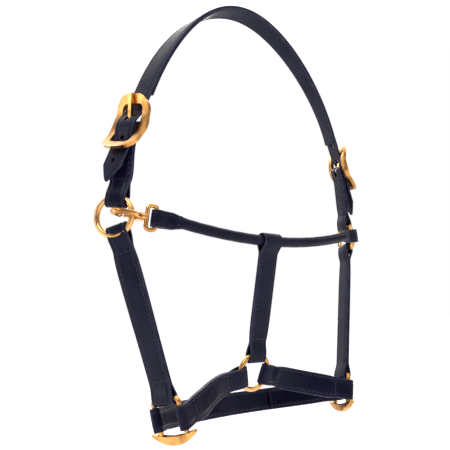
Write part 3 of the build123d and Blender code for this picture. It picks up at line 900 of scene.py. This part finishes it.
outer = crown_line(PLY / 2, True)
crown = strap_piece("crown_strap", single_ply(outer, 1), False, BRIDLE, ("crown_strap",))
cutters = []
for side in (-1, 1):
    outlines = [oval(*BILLET_SLOT)]
    for steps in (-2, -1, 1):
        outlines.append(oval(2 * HOLE_RADIUS, 2 * HOLE_RADIUS, HOLE_IN_USE + steps * HOLE_PITCH))
    cutters += [prism(shape, -2, 14, on_side(BUCKLE, side), buckle_axes(side)) for shape in outlines]
carve(crown, cutters)

inner = crown_line(-PLY / 2 - SEAM, False)
strap_piece("crown_lining", single_ply(inner, -1), False, LINING, ("crown_lining",))
sewn_end = TAIL_LENGTH + BILLET_TOP + 5
crown_rows = strap_rows(outer, sewn_end, outer.s[-1] - sewn_end, (1,))
crown_rows += strap_rows(inner, 4, inner.s[-1] - 4, (-1,))
stitch_piece("crown_stitches", crown_rows)


# ---- floor, light and camera ---------------------------------------------------------------------------
FLOOR_HALF, FLOOR_LEVEL = 60.0, -0.78


def stage_floor():
    mesh = bpy.data.meshes.new("floor")
    corners = [(x * FLOOR_HALF, y * FLOOR_HALF, FLOOR_LEVEL) for x, y in ((-1, -1), (1, -1), (1, 1), (-1, 1))]
    mesh.from_pydata(corners, [], [(0, 1, 2, 3)])
    material, tree, shader = new_material("floor_paper")
    colour = ramp(tree, noise(tree, 1.3, 2), [(0.3, (0.90, 0.90, 0.92)), (0.7, (0.93, 0.93, 0.94))])
    tree.links.new(colour, shader.inputs["Base Color"])
    shader.inputs["Roughness"].default_value = 0.9
    shader.inputs["Specular IOR Level"].default_value = 0.1
    mesh.materials.append(material)
    floor = bpy.data.objects.new("floor", mesh)
    bpy.context.scene.collection.objects.link(floor)


stage_floor()

CAMERA_AT = Vector((-0.3552, -0.4288, -0.3686))
CAMERA_YAW = 0.631
CAMERA_PITCH = 0.192
CAMERA_ROLL = -0.039
CAMERA_LENS = 39.7


def make_camera():
    forward = Vector((
        math.sin(CAMERA_YAW) * math.cos(CAMERA_PITCH),
        math.cos(CAMERA_YAW) * math.cos(CAMERA_PITCH),
        math.sin(CAMERA_PITCH),
    ))
    level = Vector((math.cos(CAMERA_YAW), -math.sin(CAMERA_YAW), 0))
    upward = level.cross(forward)
    right = level * math.cos(CAMERA_ROLL) + upward * math.sin(CAMERA_ROLL)
    up = upward * math.cos(CAMERA_ROLL) - level * math.sin(CAMERA_ROLL)
    data = bpy.data.cameras.new("camera")
    data.lens = CAMERA_LENS
    data.sensor_width = 36.0
    data.clip_start, data.clip_end = 0.02, 200
    camera = bpy.data.objects.new("camera", data)
    turn = Matrix((right, up, -forward)).transposed()
    camera.matrix_world = Matrix.Translation(CAMERA_AT) @ turn.to_4x4()
    bpy.context.scene.collection.objects.link(camera)
    bpy.context.scene.camera = camera


make_camera()


def area_light(name, place, target, size, watts, colour=(1, 1, 1)):
    data = bpy.data.lights.new(name, "AREA")
    data.shape = "RECTANGLE"
    data.size, data.size_y = size
    data.energy = watts
    data.color = colour
    light = bpy.data.objects.new(name, data)
    light.location = place
    light.rotation_mode = "QUATERNION"
    light.rotation_quaternion = (Vector(target) - Vector(place)).to_track_quat("-Z", "Y")
    bpy.context.scene.collection.objects.link(light)


MIDDLE = (0.0, 0.0, -0.24)
area_light("key", (-1.3, -0.9, 0.9), MIDDLE, (0.8, 0.8), 14, (1.0, 0.98, 0.96))
area_light("fill", (0.9, -1.4, 0.1), MIDDLE, (1.0, 1.0), 4, (0.94, 0.96, 1.0))
area_light("rim", (0.5, 1.4, 0.8), MIDDLE, (1.2, 0.8), 16)
area_light("side", (-1.5, 0.5, -0.1), MIDDLE, (0.5, 1.2), 5)


def make_world():
    """White beyond the object and overhead, dimmer behind the camera, so that black leather stays dark."""
    world = bpy.data.worlds.new("studio")
    world.use_nodes = True
    tree = world.node_tree
    background = tree.nodes["Background"]
    place = node(tree, "ShaderNodeTexCoord")
    ahead = node(tree, "ShaderNodeVectorMath", operation="DOT_PRODUCT")
    ahead.inputs[1].default_value = (math.sin(CAMERA_YAW), math.cos(CAMERA_YAW), 0)
    tree.links.new(place.outputs["Generated"], ahead.inputs[0])
    height = node(tree, "ShaderNodeSeparateXYZ")
    tree.links.new(place.outputs["Generated"], height.inputs["Vector"])
    both = node(tree, "ShaderNodeMath", operation="ADD")
    tree.links.new(spread(tree, ahead.outputs["Value"], 0.26, 1.0, 0.1, 0.70), both.inputs[0])
    tree.links.new(spread(tree, height.outputs["Z"], 0.0, 1.4, 0.45, 0.8), both.inputs[1])
    tree.links.new(both.outputs["Value"], background.inputs["Strength"])
    background.inputs["Color"].default_value = (1, 1, 1, 1)
    bpy.context.scene.world = world


make_world()
bpy.context.scene.view_settings.view_transform = "Standard"
